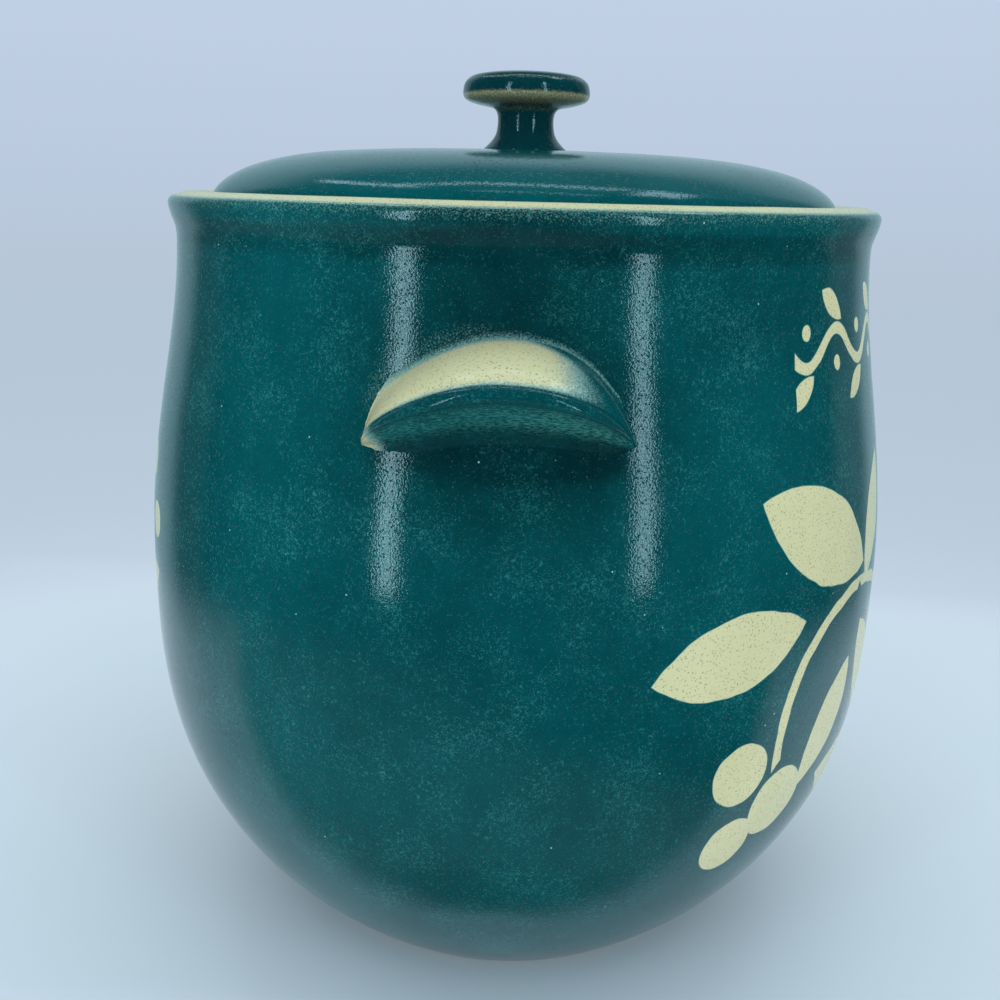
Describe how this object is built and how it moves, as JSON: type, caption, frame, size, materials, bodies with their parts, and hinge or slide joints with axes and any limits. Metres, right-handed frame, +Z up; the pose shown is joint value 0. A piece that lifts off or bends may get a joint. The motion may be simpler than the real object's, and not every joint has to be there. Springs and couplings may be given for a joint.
{
  "type": "rumtopf pot",
  "caption": "Lidded round stoneware pot for preserving fruit, with a full belly, rolled rim, lug handles and a domed knob-topped lid, in teal and cream glaze.",
  "frame": {"origin": "centre of the foot ring, on the surface that the pot stands on", "axes": "+Z up along the pot's turned axis, handles on -X and +X, the decorated front faces -Y"},
  "size_m": [0.2562, 0.229, 0.2601],
  "materials": {
    "pot_glaze": "gloss",
    "handle_glaze": "gloss",
    "lid_glaze": "gloss",
    "knob_glaze": "gloss"
  },
  "bodies": {
    "pot": {"pot_body": "pot_glaze", "handle_left": "handle_glaze", "handle_right": "handle_glaze"},
    "lid": {"lid": "lid_glaze", "lid_knob": "knob_glaze"}
  },
  "joints": [
    {"name": "lid_lift", "type": "slide", "parent": "pot", "child": "lid", "axis": [0, 0, 1], "range_m": [0, 0.12]}
  ]
}
